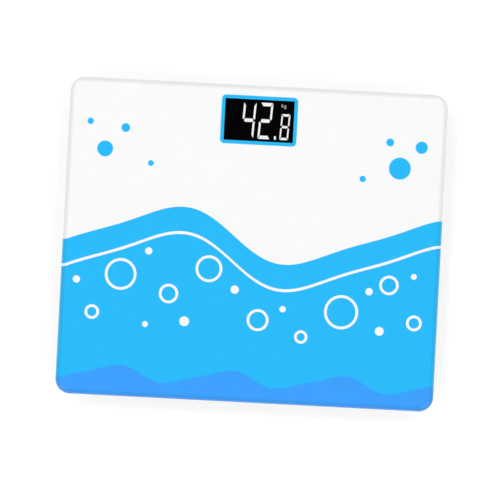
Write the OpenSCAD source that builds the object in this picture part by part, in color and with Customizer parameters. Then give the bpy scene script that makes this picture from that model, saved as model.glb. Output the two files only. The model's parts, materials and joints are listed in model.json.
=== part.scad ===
// Weighing scale with a printed glass platform on a moulded tray base. Four feet press on load
// cells, a display shows through a clear window in the print, and two cells lie behind a door.
// X runs left to right, Y towards the display, Z up. The origin is on the floor, under the middle.

/* [Platform] */
// Width of the glass, left to right
platform_w = 310; // [296:1:330]
// Depth of the glass, front to back
platform_d = 260; // [250:1:280]
// Thickness of the glass
glass_t = 6; // [5.5:0.5:8]
// Radius of the glass's corners, seen from above
corner_r = 12; // [8:1:16]
// Radius ground on the glass's upper edge
edge_r = 4; // [2:0.5:4.5]
// Chamfer on the glass's lower edge
glass_chamfer = 0.8; // [0.3:0.1:1]

/* [Print] */
// Thickness of one layer of ink
ink_t = 0.1; // [0.1:0.05:0.2]
// Distance from the glass's edge to the ink
ink_margin = 1; // [0.5:0.5:3]
// Mean height of the sky-blue swell, from the platform's front edge
swell_y = 136; // [120:1:145]
// Height of the swell above and below its mean
swell_h = 20; // [10:1:24]
// Length of the swell, crest to crest
swell_l = 220; // [180:5:260]
// Sideways place of a crest of the swell
swell_crest_x = -70; // [-90:5:-50]
// Mean height of the deep-blue wave, from the platform's front edge
wave_y = 19; // [14:1:32]
// Height of the deep-blue wave above and below its mean
wave_h = 6; // [4:1:10]
// Length of the deep-blue wave, crest to crest
wave_l = 92; // [70:1:120]
// Sideways place of a crest of the deep-blue wave
wave_crest_x = -16; // [-30:1:0]
// Distance of the foam line below the swell's edge
foam_drop = 20; // [16:1:26]
// Thickness of the foam line
foam_w = 2.4; // [1.5:0.1:4]

/* [Display] */
// Sideways place of the display, from the platform's middle
display_x = 0.8; // [-2:0.1:2]
// Distance from the platform's back edge to the display's middle
display_edge = 28.6; // [28:0.1:32]
// Width of the clear window
window_w = 56.8; // [55:0.2:59]
// Depth of the clear window
window_d = 34.2; // [33:0.2:35]
// Width of the coloured frame around the window
border_w = 2.9; // [2:0.1:5]
// Outer corner radius of the coloured frame
border_r = 3.5; // [2:0.5:5]
// Height of a large digit
digit_h = 29.8; // [28:0.2:31]
// Width of a large digit
digit_w = 10.2; // [9.4:0.1:11]
// Distance from one large digit to the next
digit_pitch = 13.7; // [13:0.1:14.4]
// Height of the small digit
small_digit_h = 21.3; // [20:0.1:24]
// Width of the small digit
small_digit_w = 7.2; // [6.4:0.1:8]
// Width of an upright stroke of a large digit
stroke_w = 1.6; // [1.3:0.1:2]
// Height of a level stroke of a large digit
stroke_h = 2.8; // [2.4:0.1:3.2]
// Width of an upright stroke of the small digit
small_stroke_w = 1.2; // [1:0.1:1.6]
// Height of a level stroke of the small digit
small_stroke_h = 1.9; // [1.6:0.1:2.2]
// Lean of the digits, in degrees
digit_lean = 3.1; // [0:0.1:6]
// Space from the window's left edge to the first digit
digit_left = 13.9; // [12:0.1:14.5]
// Space from the window's front edge to the digits
digit_front = 2.1; // [1.6:0.1:2.6]
// Space before the decimal point
point_gap = 3.5; // [3:0.1:4]
// Space between the decimal point and the small digit
point_after = 2.7; // [2.2:0.1:3.2]
// Width of the decimal point
point_w = 1.5; // [1.2:0.1:2]

/* [Display module] */
// Thickness of each of the display's two glasses
lcd_t = 1.1; // [0.9:0.1:1.3]
// How far the display reaches past the window at the back and the sides
lcd_lap = 1.5; // [1.25:0.25:2]
// Sideways allowance of the display's glass past that
lcd_side = 1.75; // [1.5:0.25:2.5]
// Depth of the display's contact ledge in front of the window
ledge_d = 4; // [3.6:0.2:4.6]
// Thickness of the backlight
backlight_t = 3; // [2.4:0.2:3.4]
// Wall and floor of the display's holder
holder_t = 1.2; // [1:0.1:1.5]
// Width of the rubber connector
zebra_w = 2.5; // [2:0.1:2.6]
// Width of the foam frame's band
gasket_w = 2; // [1.5:0.25:2.5]
// Width of the circuit board
board_w = 84; // [80:1:90]
// Depth of the circuit board
board_d = 40; // [38:1:42]
// Thickness of the circuit board
board_t = 1.2; // [1:0.1:1.6]
// Distance from the board's edges to its screws
board_screw_inset = 3; // [3:0.25:4]
// Radius of the posts under the board
board_post_r = 2.6; // [2.4:0.1:3]

/* [Base] */
// Distance from the floor to the underside of the base
base_lift = 5; // [4.5:0.5:7]
// Height of the base, underside to rim
base_h = 15; // [15:0.5:18]
// How far the base stays inside the glass's edge
base_inset = 4; // [3:0.5:6]
// Radius of the base's corners
base_corner_r = 18; // [16:1:24]
// Wall of the base's skirt
wall_t = 2.2; // [1.8:0.1:2.6]
// Floor of the base
floor_t = 2.2; // [2:0.1:2.6]
// Thickness of the rim under the glass
rim_t = 4; // [3.5:0.5:5]
// Height of the rim's upright band
rim_h = 4; // [3:0.5:6]
// How far the skirt slopes in below the rim
skirt_run = 6; // [4:0.5:8]
// Chamfer between the skirt and the underside
skirt_chamfer = 1; // [0.5:0.5:2]
// Thickness of the stiffening ribs
rib_t = 1.6; // [1.2:0.1:2]
// Distance from a foot's seat to the middle of the long rib beside it
rib_clear = 2; // [1.5:0.25:4]
// Place of the back cross rib, from the middle
rib_back_y = 8; // [0:1:12]
// Place of the front cross rib, from the middle
rib_front_y = -40; // [-46:1:-30]
// Width of the gaps in the ribs that let the leads through
rib_gap = 7; // [6:0.5:8]
// Width of the blank label recess in the underside
label_w = 70; // [50:1:80]
// Depth of the blank label recess, front to back
label_d = 34; // [20:1:40]
// Sinking of the blank label recess
label_sink = 0.4; // [0.2:0.1:0.6]
// Place of the label recess's middle
label_y = -34; // [-50:1:-20]
// Thickness of the tape between base and glass
tape_t = 0.8; // [0.5:0.1:1.2]
// Width of the tape on the rim
tape_w = 3; // [2:0.5:3]

/* [Feet] */
// Distance from a foot's seat to the edge of the underside
foot_margin = 3; // [2:0.5:8]
// Radius of a foot's pocket
pocket_r = 24.5; // [24.3:0.1:25.5]
// Wall around the pocket
pocket_wall = 2.4; // [2:0.1:2.8]
// Roof over the pocket
pocket_roof = 3; // [2.4:0.1:3.4]
// Outer radius of the seat for the retainer
seat_r = 34; // [33.6:0.1:35]
// Thickness of the retainer ring
retainer_t = 2.2; // [2:0.1:2.4]
// Outer radius of the retainer ring
retainer_r = 31.5; // [31:0.1:32]
// Gap around the foot inside the retainer ring
retainer_gap = 1.2; // [0.8:0.1:1.4]
// Outer radius of the foot's body
foot_r = 19; // [18.8:0.1:19.6]
// Outer radius of the foot's flange
flange_r = 22.5; // [22:0.1:23]
// Thickness of the foot's flange
flange_t = 1.8; // [1.4:0.1:2]
// Play between the retainer and the flange above it
flange_play = 0.5; // [0.4:0.1:0.8]
// Wall of the foot's body
foot_wall = 2; // [1.6:0.1:2.4]
// Floor of the foot's body
foot_floor = 2; // [1.6:0.1:2.4]
// Radius of the foot's post at its tip
post_r = 4.5; // [3.5:0.1:5]
// Thickness of the webs inside the foot
web_t = 1.4; // [1:0.1:1.8]
// Radius of the rubber pad
pad_r = 17.2; // [16.5:0.1:17.4]
// Thickness of the rubber pad
pad_t = 2.6; // [2.4:0.1:3]
// How far the rubber pad stands out of the foot
pad_proud = 0.8; // [0.6:0.1:1.2]
// Depth of the pad's tread grooves
tread_depth = 0.5; // [0.3:0.1:0.6]
// Width of the pad's tread grooves
tread_w = 1.2; // [0.8:0.1:1.6]
// Radius of the circle that the retainer's screws lie on
screw_circle_r = 28; // [27.8:0.1:28.4]

/* [Load cells] */
// Side of the load cell plate
cell_w = 34; // [33:0.5:34.5]
// Thickness of the load cell plate
cell_t = 1.2; // [1:0.1:1.5]
// Chamfer of the plate's corners
cell_chamfer = 3; // [3:0.5:4]
// Width of the plate's tongue
tongue_w = 12; // [11:0.5:13]
// Width of the slots around the tongue
tongue_slot = 3; // [2:0.5:3.5]
// Width of the plate's two end bars
end_bar = 8; // [7:0.5:9]
// Height of the pads that hold the plate off the roof
rest_h = 1.4; // [1.3:0.1:1.8]
// Radius of the pegs that locate the plate
peg_r = 1.2; // [1:0.1:1.4]
// Height of the sealant over the gauge
sealant_h = 0.9; // [0.6:0.1:0.9]
// Radius of a lead's core
core_r = 0.5; // [0.4:0.05:0.5]
// Distance between the cores of a lead
core_pitch = 1.1; // [1.1:0.05:1.3]

/* [Screws] */
// Radius of a screw's shank
screw_r = 1; // [0.9:0.05:1.1]
// Radius of a screw's head
screw_head_r = 1.9; // [1.7:0.1:2]
// Height of a screw's head
screw_head_h = 1.1; // [0.9:0.1:1.1]
// Length of a screw's shank
screw_l = 5.5; // [5:0.25:6]

/* [Unit button] */
// Sideways place of the button
button_x = 24; // [20:1:30]
// Distance from the display's middle to the button, forwards
button_back = 11.4; // [9:0.2:14]
// Radius of the button
button_r = 5; // [4:0.1:5.5]
// How far the button stands out of the underside
button_proud = 0.4; // [0.2:0.1:0.6]
// Lap of the button's flange over the base
button_flange = 1.2; // [0.8:0.1:1.6]
// Travel of the button
button_travel = 0.3; // [0.2:0.05:0.4]
// Side of the switch's body
switch_w = 6; // [5.5:0.1:6.5]
// Height of the switch's body
switch_h = 3.5; // [3.2:0.1:3.6]
// Radius of the switch's plunger
plunger_r = 1.7; // [1.4:0.1:1.8]

/* [Battery bay] */
// Diameter of a cell
battery_d = 10.5; // [10.3:0.1:10.5]
// Length of a cell with its nub
battery_l = 44.5; // [44:0.1:44.5]
// Length of the room for the cells and their contacts
bay_l = 52; // [51.5:0.1:53]
// Gap between the cells, and half as much to the bay's sides
battery_gap = 1; // [0.6:0.1:1.4]
// Place of the bay's middle, from the platform's middle
bay_y = 44; // [38:1:46]
// Thickness of the door
door_t = 2; // [1.8:0.1:2.2]
// Lap of the door's ledge around the bay
door_lap = 2; // [1.6:0.1:2.2]
// Play around the door
door_play = 0.3; // [0.2:0.05:0.4]
// Radius of the door's hinge barrel
barrel_r = 1.75; // [1.6:0.05:1.8]
// Radius of the hinge pins
pin_r = 1; // [0.8:0.05:1.1]
// Length of a hinge pin outside the barrel
pin_l = 1.6; // [1.4:0.1:1.7]
// Length of the finger scoop beside the latch
scoop_l = 6; // [5:0.5:8]
// Half width of the finger scoop
scoop_half = 9; // [7:0.5:10]
// Wall around the bay
bay_wall = 2.2; // [2:0.1:2.4]
// Thickness of the contact plates
contact_t = 0.4; // [0.3:0.05:0.5]
// Radius of a contact spring's wire
spring_wire_r = 0.35; // [0.3:0.05:0.4]
// Radius of a contact spring's coil
spring_r = 3.2; // [2.6:0.1:3.4]
// Number of turns of a contact spring
spring_turns = 4; // [3:1:5]

/* [Hidden] */
$fn = 96;
// Room left for a thing that slides or is laid in
slip = 0.2;
// Room around a shaft or screw in its hole
fit = 0.05;
// Overlap of a cutting shape past the face that it cuts
over = 1;

// Heights, from the floor up
base_z = base_lift;
floor_z = base_z + floor_t;
rim_z = base_z + base_h;
ink_z = rim_z + tape_t;
glass_z = ink_z + 3 * ink_t;
top_z = glass_z + glass_t;

// Places across the base
base_w = platform_w - 2 * base_inset;
base_d = platform_d - 2 * base_inset;
underside_inset = base_inset + skirt_run + skirt_chamfer;
foot_x = platform_w / 2 - underside_inset - foot_margin - seat_r;
foot_y = platform_d / 2 - underside_inset - foot_margin - seat_r;
rib_x = foot_x - seat_r - rib_clear;

// Foot, pocket and load cell
seat_z = base_z + retainer_t;
seat_t = 2.2;
ledge_top = seat_z + seat_t;
roof_z = rim_z - pocket_roof;
cell_z = roof_z - rest_h - cell_t;
cell_top_z = cell_z + cell_t;
flange_z = seat_z + flange_play;
pad_recess_r = pad_r + slip;
head_room_r = screw_head_r + slip;
screw_hole_r = screw_r + fit;
boss_wall = 2;
boss_z = seat_z + screw_l;
rest_x = tongue_w / 2 + tongue_slot + (cell_w / 2 - tongue_w / 2 - tongue_slot) / 2;
rest_y = 9;
rest_size = [4, 6];
gauge_size = [8, 7];
lead_z = cell_top_z + core_r + 0.1;
lead_half = core_pitch + core_r;

// Display and board
display_y = platform_d / 2 - display_edge;
window_front = display_y - window_d / 2;
window_back = display_y + window_d / 2;
lcd_w = window_w + 2 * (lcd_lap + lcd_side);
lcd_back = window_back + lcd_lap;
lcd_front = window_front - lcd_lap - ledge_d;
lcd_z = rim_z - lcd_t;
backlight_z = rim_z - 2 * lcd_t - backlight_t;
board_top_z = backlight_z - holder_t;
board_z = board_top_z - board_t;
holder_w = lcd_w + 2 * (slip + holder_t);
holder_back = lcd_back + slip + holder_t;
holder_front = lcd_front - slip - holder_t;
board_front = holder_front - slip;
board_back = board_front + board_d;
board_screw_x = board_w / 2 - board_screw_inset;
ear_t = 1.4;
zebra_front = lcd_front + 0.4;
zebra_l = lcd_w - 6;

// Unit button
button_y = display_y - button_back;
button_z = base_z - button_proud;
button_flange_z = floor_z + fit;
button_top_z = button_flange_z + 0.95;
switch_z = board_z - switch_h;
plunger_grip = 1;
plunger_z = switch_z + plunger_grip;

// Battery bay
bay_w = 2 * battery_d + 2 * battery_gap;
door_l = bay_l + 2 * door_lap;
door_w = bay_w + 2 * door_lap;
door_top_z = base_z + door_t;
recess_z = door_top_z + 0.1;
recess_w = door_w + 2 * door_play;
battery_z = door_top_z + 0.6 + battery_d / 2;
bay_top_z = battery_z + battery_d / 2 + 0.5;
battery_y = (battery_d + battery_gap) / 2;
hinge_x = -door_l / 2 + barrel_r + fit;
hinge_z = base_z + barrel_r + fit;
hinge_room_r = barrel_r + 0.45;
ledge_z = recess_z + bay_wall;
nub_r = 1.9;
nub_l = 0.8;
dimple_l = 0.6;
contact_x = bay_l / 2 - contact_t;
spring_x = contact_x - dimple_l - battery_l;
contact_w = 9;
contact_h = 8.4;
tail_w = 3;
tail_z = battery_z + 2.4;
tail_end = bay_l / 2 + bay_wall + 1.6;
lead_clear = 0.1;

// Height of the lit segments, the gap between two of them, and how far the uprights end from a
// digit's middle
lit_t = 0.1;
segment_gap = 0.45;
upright_gap = 0.95;

shell_white = [0.95, 0.95, 0.95];
sky_blue = [0.18, 0.73, 0.98];
deep_blue = [0.25, 0.63, 1];
ink_white = [1, 1, 1];
steel = [0.75, 0.76, 0.78];
board_green = [0.08, 0.4, 0.22];
dark_grey = [0.2, 0.2, 0.22];

// Feet: each has its side along X and Y
FL = [-1, -1];
FR = [1, -1];
BL = [-1, 1];
BR = [1, 1];
FEET = [FL, FR, BL, BR];

// Shared shapes

// A box from two opposite corners
module span(a, b) {
    translate(a) cube(b - a);
}

// The edge of a round-cornered slab: the child is its section, with x from the corner's axis
module slab_edge(w, d, r) {
    for (q = [0 : 3]) {
        sx = (q == 0 || q == 3) ? 1 : -1;
        sy = q < 2 ? 1 : -1;
        translate([sx * (w / 2 - r), sy * (d / 2 - r), 0])
            rotate(90 * q) rotate_extrude(angle = 90) children();
        run = q % 2 == 0 ? d - 2 * r : w - 2 * r;
        out = q % 2 == 0 ? w / 2 - r : d / 2 - r;
        rotate(90 * q) translate([out, run / 2, 0]) rotate([90, 0, 0])
            linear_extrude(run) children();
    }
}

// A round-cornered slab between two heights, its edge given by the child
module slab(w, d, r, z0, z1) {
    slab_edge(w, d, r) children();
    span([r - w / 2, r - d / 2, z0], [w / 2 - r, d / 2 - r, z1]);
}

// A flat round-cornered plate
module plate(w, d, r, z0, z1) {
    slab(w, d, r, z0, z1) translate([0, z0]) square([r, z1 - z0]);
}

// Places its child at each foot
module at_feet() {
    for (f = FEET) at_foot(f) children();
}

// A foot's own frame: +X points inwards, to the scale's middle line
module at_foot(f) {
    translate([f[0] * foot_x, f[1] * foot_y, 0]) mirror([f[0] > 0 ? 1 : 0, 0, 0]) children();
}

// A screw with its head below z = 0 and its shank above
module screw() {
    difference() {
        union() {
            translate([0, 0, -screw_head_h]) cylinder(r = screw_head_r, h = screw_head_h);
            cylinder(r = screw_r, h = screw_l);
        }
        for (a = [0, 90]) rotate(a)
            span([-1.2, -0.25, -screw_head_h - over], [1.2, 0.25, -screw_head_h / 2]);
    }
}

// Points along a smooth curve through the given points
function curve_point(a, b, c, d, t) =
    (2 * b + (c - a) * t + (2 * a - 5 * b + 4 * c - d) * t * t
        + (3 * b - a - 3 * c + d) * t * t * t) / 2;
function smooth(p, n) = [
    for (i = [0 : len(p) - 2], k = [0 : n - 1])
        curve_point(p[max(i - 1, 0)], p[i], p[i + 1], p[min(i + 2, len(p) - 1)], k / n),
    p[len(p) - 1]
];
function unit(v) = v / norm(v);
function heading(p, i) = unit(p[min(i + 1, len(p) - 1)] - p[max(i - 1, 0)]);

// A round wire along a path, moved sideways by shift
module wire(path, r, shift, sides = 8) {
    rings = len(path);
    points = [
        for (i = [0 : rings - 1])
            let (t = heading(path, i), s = unit(cross([0, 0, 1], t)), u = cross(t, s))
                for (k = [0 : sides - 1])
                    path[i] + s * (shift + r * cos(360 * k / sides)) + u * r * sin(360 * k / sides)
    ];
    tube(points, rings, sides);
}

// A closed tube from rings of points
module tube(points, rings, sides) {
    ends = (rings - 1) * sides;
    faces = concat(
        [[for (k = [0 : sides - 1]) k]],
        [[for (k = [sides - 1 : -1 : 0]) ends + k]],
        [for (i = [0 : rings - 2], k = [0 : sides - 1])
            [i * sides + k, (i + 1) * sides + k, (i + 1) * sides + (k + 1) % sides]],
        [for (i = [0 : rings - 2], k = [0 : sides - 1])
            [i * sides + k, (i + 1) * sides + (k + 1) % sides, i * sides + (k + 1) % sides]]
    );
    polyhedron(points = points, faces = faces, convexity = 8);
}

// Glass and print

module glass_platform() {
    color([0.8, 0.92, 0.9, 0.35])
        slab(platform_w, platform_d, corner_r, glass_z, top_z) difference() {
            union() {
                translate([0, glass_z]) square([corner_r - edge_r, glass_t]);
                translate([0, glass_z]) square([corner_r, glass_t - edge_r]);
                intersection() {
                    translate([corner_r - edge_r, top_z - edge_r]) circle(edge_r);
                    translate([corner_r - edge_r, top_z - edge_r]) square(edge_r);
                }
            }
            polygon([
                [corner_r - glass_chamfer, glass_z], [corner_r + over, glass_z + glass_chamfer + over],
                [corner_r + over, glass_z - over], [corner_r - glass_chamfer - over, glass_z - over]
            ]);
        }
}

// Everything of one ink layer that stays on the glass; layer 0 is the lowest
module ink_area(layer) {
    plate(platform_w - 2 * ink_margin, platform_d - 2 * ink_margin, corner_r - ink_margin,
        ink_z + layer * ink_t, ink_z + (layer + 1) * ink_t);
}

// The window, as a cutting shape
module window_cut() {
    span([display_x - window_w / 2, window_front, ink_z - over],
        [display_x + window_w / 2, window_back, glass_z + over]);
}

module print_backing() {
    color(ink_white) difference() {
        ink_area(0);
        window_cut();
    }
}

// Height of an edge at x, from the front edge: a wave leaning to the right, with a crest at crest_x
wave_skew = 0.22;
function wave_edge(x, mean, height, length, crest_x) =
    let (a = 360 * (x - crest_x) / length)
    mean + height * (cos(a) + wave_skew * sin(2 * a));
function swell_at(x) = wave_edge(x, swell_y, swell_h, swell_l, swell_crest_x);
function wave_at(x) = wave_edge(x, wave_y, wave_h, wave_l, wave_crest_x);

// The two edges, from left to right past the platform's sides
print_step = 3;
print_ends = ceil(platform_w / 2 / print_step) * print_step;
print_x = [for (x = [-print_ends : print_step : print_ends]) x];
swell_line = [for (x = print_x) [x, swell_at(x) - platform_d / 2]];
wave_line = [for (x = print_x) [x, wave_at(x) - platform_d / 2]];

// The area in front of an edge, on the given ink layer
module ink_below(line, layer) {
    intersection() {
        ink_area(layer);
        translate([0, 0, ink_z + layer * ink_t]) linear_extrude(ink_t)
            polygon(concat([[print_ends, -platform_d], [-print_ends, -platform_d]], line));
    }
}

// Bubbles: place from the platform's middle, and radius
sky_bubbles = [[118, 68, 9], [135, 86, 5], [109, 89, 3.2], [-124, 72, 6.5], [-108, 90, 3.6],
    [-137, 94, 2.6], [88, 58, 2.6], [-86, 62, 2.4]];
white_rings = [[-106, -30, 13], [-66, -44, 8], [-34, -22, 11], [-128, -62, 6], [8, -62, 9],
    [44, -74, 5.5], [76, -52, 14], [114, -28, 8], [136, -58, 6.5]];
white_dots = [[-84, -10, 3], [-52, -66, 4], [-12, -38, 3.4], [28, -52, 2.6], [98, -34, 3],
    [108, -66, 3.6], [-142, -36, 3], [-84, -70, 2.4], [134, -20, 2.4]];
ring_w = 2.2;

module print_sky_wave() {
    color(sky_blue) {
        ink_below(swell_line, 1);
        for (b = sky_bubbles) translate([b[0], b[1], ink_z + ink_t]) cylinder(r = b[2], h = ink_t);
    }
}

module print_deep_wave() {
    color(deep_blue) ink_below(wave_line, 2);
}

module print_white_motifs() {
    z = ink_z + 2 * ink_t;
    line = [for (p = swell_line) p - [0, foam_drop]];
    under = [for (i = [len(line) - 1 : -1 : 0]) line[i] - [0, foam_w]];
    color(ink_white) {
        intersection() {
            ink_area(2);
            translate([0, 0, z]) linear_extrude(ink_t) polygon(concat(line, under));
        }
        for (b = white_rings) translate([b[0], b[1], z]) difference() {
            cylinder(r = b[2], h = ink_t);
            translate([0, 0, -over]) cylinder(r = b[2] - ring_w, h = ink_t + 2 * over);
        }
        for (b = white_dots) translate([b[0], b[1], z]) cylinder(r = b[2], h = ink_t);
    }
}

module print_display_border() {
    color(sky_blue) difference() {
        translate([display_x, display_y, 0])
            plate(window_w + 2 * border_w, window_d + 2 * border_w, border_r,
                ink_z + ink_t, ink_z + 2 * ink_t);
        window_cut();
    }
}

// Tape: a band on the rim, a disc over each foot, a patch over the bay and strips on the ribs
module glass_adhesive() {
    tape_inset = (rim_t - tape_w) / 2;
    outer_w = base_w - 2 * tape_inset;
    outer_d = base_d - 2 * tape_inset;
    outer_r = base_corner_r - tape_inset;
    strip = rib_t / 2;
    strip_end = front_lane_x - rib_gap;
    color([0.85, 0.85, 0.82]) {
        difference() {
            plate(outer_w, outer_d, outer_r, rim_z, ink_z);
            translate([0, 0, -over / 2])
                plate(outer_w - 2 * tape_w, outer_d - 2 * tape_w, outer_r - tape_w, rim_z, ink_z + over);
        }
        at_feet() translate([0, 0, rim_z]) cylinder(r = pocket_r - 4, h = tape_t);
        span([-bay_l / 2, bay_y - bay_w / 2, rim_z], [bay_l / 2, bay_y + bay_w / 2, ink_z]);
        for (y = [rib_front_y, rib_back_y])
            span([-strip_end, y - strip, rim_z], [strip_end, y + strip, ink_z]);
    }
}

// Base

// Section of the base's outside, from the corner's axis
module skirt_outside() {
    r = base_corner_r;
    polygon([
        [0, base_z], [r - skirt_run - skirt_chamfer, base_z],
        [r - skirt_run, base_z + skirt_chamfer], [r, rim_z - rim_h], [r, rim_z], [0, rim_z]
    ]);
}

// Inside of the skirt: how far it lies from the rim's outside at the floor and at the rim's band
skirt_rise = base_h - rim_h - skirt_chamfer;
skirt_wall = wall_t * sqrt(1 + pow(skirt_run / skirt_rise, 2));
in_floor = skirt_run * (1 - (floor_t - skirt_chamfer) / skirt_rise) + skirt_wall;
in_band = skirt_wall;

module skirt_inside() {
    r = base_corner_r;
    polygon([
        [0, floor_z], [r - in_floor, floor_z], [r - rim_t, rim_z - rim_h + in_band - rim_t],
        [r - rim_t, rim_z + over], [0, rim_z + over]
    ]);
}

// A rib along X across the whole base, whose ends follow the skirt and reach into it by rib_bite
rib_bite = 0.6;

module rib(half) {
    foot_end = half - in_floor + rib_bite;
    rim_end = half - rim_t + rib_bite;
    foot_level = floor_z - rib_bite;
    rotate([90, 0, 0]) translate([0, 0, -rib_t / 2]) linear_extrude(rib_t) polygon([
        [foot_end, foot_level], [rim_end, rim_z - rim_h], [rim_end, rim_z],
        [-rim_end, rim_z], [-rim_end, rim_z - rim_h], [-foot_end, foot_level]
    ]);
}

module ribs() {
    difference() {
        union() {
            for (y = [rib_front_y, rib_back_y]) translate([0, y, 0]) rib(base_w / 2);
            for (x = [-rib_x, rib_x]) translate([x, 0, 0]) rotate(90) rib(base_d / 2);
        }
        for (s = [-1, 1]) {
            for (y = [rib_front_y, rib_back_y]) rib_opening([s * front_lane_x, y]);
            for (y = [-foot_y, foot_y]) rib_opening([s * rib_x, y]);
        }
    }
}

module rib_opening(p) {
    half = rib_gap / 2;
    translate([p[0], p[1], 0]) span([-half, -half, floor_z], [half, half, rim_z + over]);
}

module foot_housing() {
    translate([0, 0, base_z]) cylinder(r = seat_r, h = retainer_t + seat_t);
    translate([0, 0, base_z]) cylinder(r = pocket_r + pocket_wall, h = base_h);
    at_retainer_screws() translate([0, 0, base_z])
        cylinder(r = screw_r + boss_wall, h = boss_z + boss_wall / 2 - base_z);
}

module at_retainer_screws() {
    for (a = [60, 180, 300]) rotate(a) translate([screw_circle_r, 0, 0]) children();
}

module foot_pocket() {
    translate([0, 0, base_z - over]) cylinder(r = pocket_r, h = roof_z - base_z + over);
    translate([0, 0, base_z - over]) cylinder(r = retainer_r + slip, h = retainer_t + over);
    at_retainer_screws() translate([0, 0, seat_z - over])
        cylinder(r = screw_hole_r, h = screw_l + over);
    span([pocket_r - 2, -lead_half - slip, cell_top_z - slip],
        [pocket_r + pocket_wall + 2, lead_half + slip, roof_z]);
}

// Rests under the pocket's roof, with pegs through the load cell
module cell_rests() {
    for (sx = [-1, 1], sy = [-1, 1]) {
        c = [sx * rest_y, sy * rest_x];
        span([c[0] - rest_size[1] / 2, c[1] - rest_size[0] / 2, cell_top_z],
            [c[0] + rest_size[1] / 2, c[1] + rest_size[0] / 2, roof_z + pocket_roof / 2]);
        if (sx == sy) translate([c[0], c[1], cell_z + 0.2])
            cylinder(r = peg_r, h = roof_z - cell_z);
    }
}

module bay_block() {
    ledge = door_play + bay_wall;
    span([-door_l / 2 - ledge, bay_y - door_w / 2 - ledge, base_z],
        [door_l / 2 + scoop_l + ledge, bay_y + door_w / 2 + ledge, ledge_z]);
    span([-bay_l / 2 - bay_wall, bay_y - bay_w / 2 - bay_wall, base_z],
        [bay_l / 2 + bay_wall, bay_y + bay_w / 2 + bay_wall, rim_z]);
}

module bay_cut() {
    translate([0, bay_y, 0]) {
        span([-bay_l / 2, -bay_w / 2, base_z - over], [bay_l / 2, bay_w / 2, bay_top_z]);
        span([-door_l / 2 - door_play, -recess_w / 2, base_z - over],
            [door_l / 2 + door_play, recess_w / 2, recess_z]);
        translate([hinge_x, recess_w / 2, hinge_z]) rotate([90, 0, 0])
            cylinder(r = hinge_room_r, h = recess_w);
        translate([hinge_x, door_w / 2 + pin_l + slip, hinge_z]) rotate([90, 0, 0])
            cylinder(r = pin_r + fit, h = door_w + 2 * (pin_l + slip));
        span([door_l / 2, -scoop_half, base_z - over], [door_l / 2 + scoop_l, scoop_half, recess_z]);
        for (s = [-1, 1])
            span([bay_l / 2 - over, s * battery_y - tail_w / 2 - slip, tail_z - contact_t / 2 - slip],
                [bay_l / 2 + bay_wall + over, s * battery_y + tail_w / 2 + slip,
                    tail_z + contact_t / 2 + slip]);
    }
}

module at_board_screws() {
    for (sx = [-1, 1], y = [board_front + board_screw_inset, board_back - board_screw_inset])
        translate([display_x + sx * board_screw_x, y, 0]) children();
}

module base_shell() {
    color(shell_white) {
        difference() {
            union() {
                difference() {
                    slab(base_w, base_d, base_corner_r, base_z, rim_z) skirt_outside();
                    slab(base_w, base_d, base_corner_r, floor_z, rim_z + over) skirt_inside();
                }
                ribs();
                at_feet() foot_housing();
                bay_block();
                at_board_screws() translate([0, 0, base_z])
                    cylinder(r = board_post_r, h = board_z - base_z);
            }
            at_feet() foot_pocket();
            bay_cut();
            at_board_screws() translate([0, 0, board_top_z + ear_t - screw_l - slip])
                cylinder(r = screw_hole_r, h = screw_l);
            translate([button_x, button_y, base_z - over])
                cylinder(r = button_r + door_play, h = floor_t + 2 * over);
            span([-label_w / 2, label_y - label_d / 2, base_z - over],
                [label_w / 2, label_y + label_d / 2, base_z + label_sink]);
        }
        at_feet() cell_rests();
    }
}

// Feet

module foot_pad(f) {
    groove = [pad_r * 0.34, pad_r * 0.62];
    color([0.35, 0.36, 0.38]) at_foot(f) difference() {
        rotate_extrude() polygon([
            [0, 0], [pad_r - 0.6, 0], [pad_r, 0.6], [pad_r, pad_t], [0, pad_t]
        ]);
        for (r = groove) translate([0, 0, -over]) difference() {
            cylinder(r = r + tread_w, h = tread_depth + over);
            cylinder(r = r, h = tread_depth + 2 * over);
        }
    }
}

module foot_cap(f) {
    floor_top = pad_t + foot_floor;
    flange_top = flange_z + flange_t;
    inner_r = foot_r - foot_wall;
    root_r = post_r + 1.5;
    color(shell_white) at_foot(f) {
        rotate_extrude() polygon([
            [0, pad_t], [pad_recess_r, pad_t], [pad_recess_r, pad_proud], [foot_r, pad_proud],
            [foot_r, flange_z], [flange_r, flange_z], [flange_r, flange_top],
            [inner_r, flange_top], [inner_r, floor_top], [root_r, floor_top],
            [root_r, cell_z - 3], [post_r, cell_z - 3], [post_r, cell_z], [0, cell_z]
        ]);
        for (a = [0 : 60 : 300]) rotate(a)
            span([post_r, -web_t / 2, floor_top - 0.5], [inner_r + 0.5, web_t / 2, flange_top - 0.6]);
    }
}

module foot_retainer(f) {
    color(shell_white) at_foot(f) difference() {
        rotate_extrude() polygon([
            [foot_r + retainer_gap, base_z + 0.4], [foot_r + retainer_gap + 0.4, base_z],
            [retainer_r - 0.4, base_z], [retainer_r, base_z + 0.4],
            [retainer_r, seat_z], [foot_r + retainer_gap, seat_z]
        ]);
        at_retainer_screws() {
            translate([0, 0, base_z - over]) cylinder(r = screw_hole_r + 0.15, h = retainer_t + 2 * over);
            translate([0, 0, base_z - over]) cylinder(r = head_room_r, h = screw_head_h + 0.1 + over);
        }
    }
}

module retainer_screws() {
    color(steel) at_feet() at_retainer_screws() translate([0, 0, base_z + screw_head_h + 0.1]) screw();
}

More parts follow.
